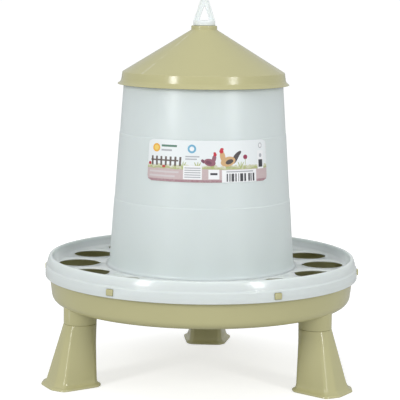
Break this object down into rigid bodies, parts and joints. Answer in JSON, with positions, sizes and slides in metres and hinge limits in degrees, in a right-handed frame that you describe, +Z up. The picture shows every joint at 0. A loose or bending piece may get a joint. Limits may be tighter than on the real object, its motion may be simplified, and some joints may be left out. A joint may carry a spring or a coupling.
{
  "type": "gravity poultry feeder",
  "caption": "Gravity poultry feeder: tapered hopper with a lift-off conical lid and a swivelling hanging loop, over a round tray with an anti-waste ring, on push-on feet.",
  "frame": {"origin": "on the floor under the middle of the hopper: the plane of the three feet's undersides, on the hopper's axis", "axes": "+Z up along the hopper's axis; -Y is the front, midway between the two front feet; +X is the object's left-to-right as seen from the front"},
  "size_m": [0.268, 0.2754, 0.3204],
  "materials": {
    "khaki_plastic": "semi-gloss moulded polypropylene",
    "white_plastic": "glossy natural white moulded plastic",
    "translucent_plastic": "satin translucent natural polypropylene",
    "label_film": null
  },
  "bodies": {
    "feeder": {"tray": "khaki_plastic", "feeding_ring": "white_plastic", "hopper": "translucent_plastic", "label": "label_film"},
    "lid": {"lid": "khaki_plastic"},
    "hanger": {"hanger": "translucent_plastic"},
    "foot_left": {"foot_left": "khaki_plastic"},
    "foot_right": {"foot_right": "khaki_plastic"},
    "foot_rear": {"foot_rear": "khaki_plastic"}
  },
  "joints": [
    {"name": "lid_lift", "type": "slide", "parent": "feeder", "child": "lid", "axis": [0, 0, 1], "range_m": [0, 0.08]},
    {"name": "hanger_swivel", "type": "hinge", "parent": "lid", "child": "hanger", "pos_m": [0, 0, 0.2963], "axis": [0, 0, 1], "continuous": true},
    {"name": "foot_left_pull", "type": "slide", "parent": "feeder", "child": "foot_left", "axis": [0, 0, -1], "range_m": [0, 0.025]},
    {"name": "foot_right_pull", "type": "slide", "parent": "feeder", "child": "foot_right", "axis": [0, 0, -1], "range_m": [0, 0.025]},
    {"name": "foot_rear_pull", "type": "slide", "parent": "feeder", "child": "foot_rear", "axis": [0, 0, -1], "range_m": [0, 0.025]}
  ]
}
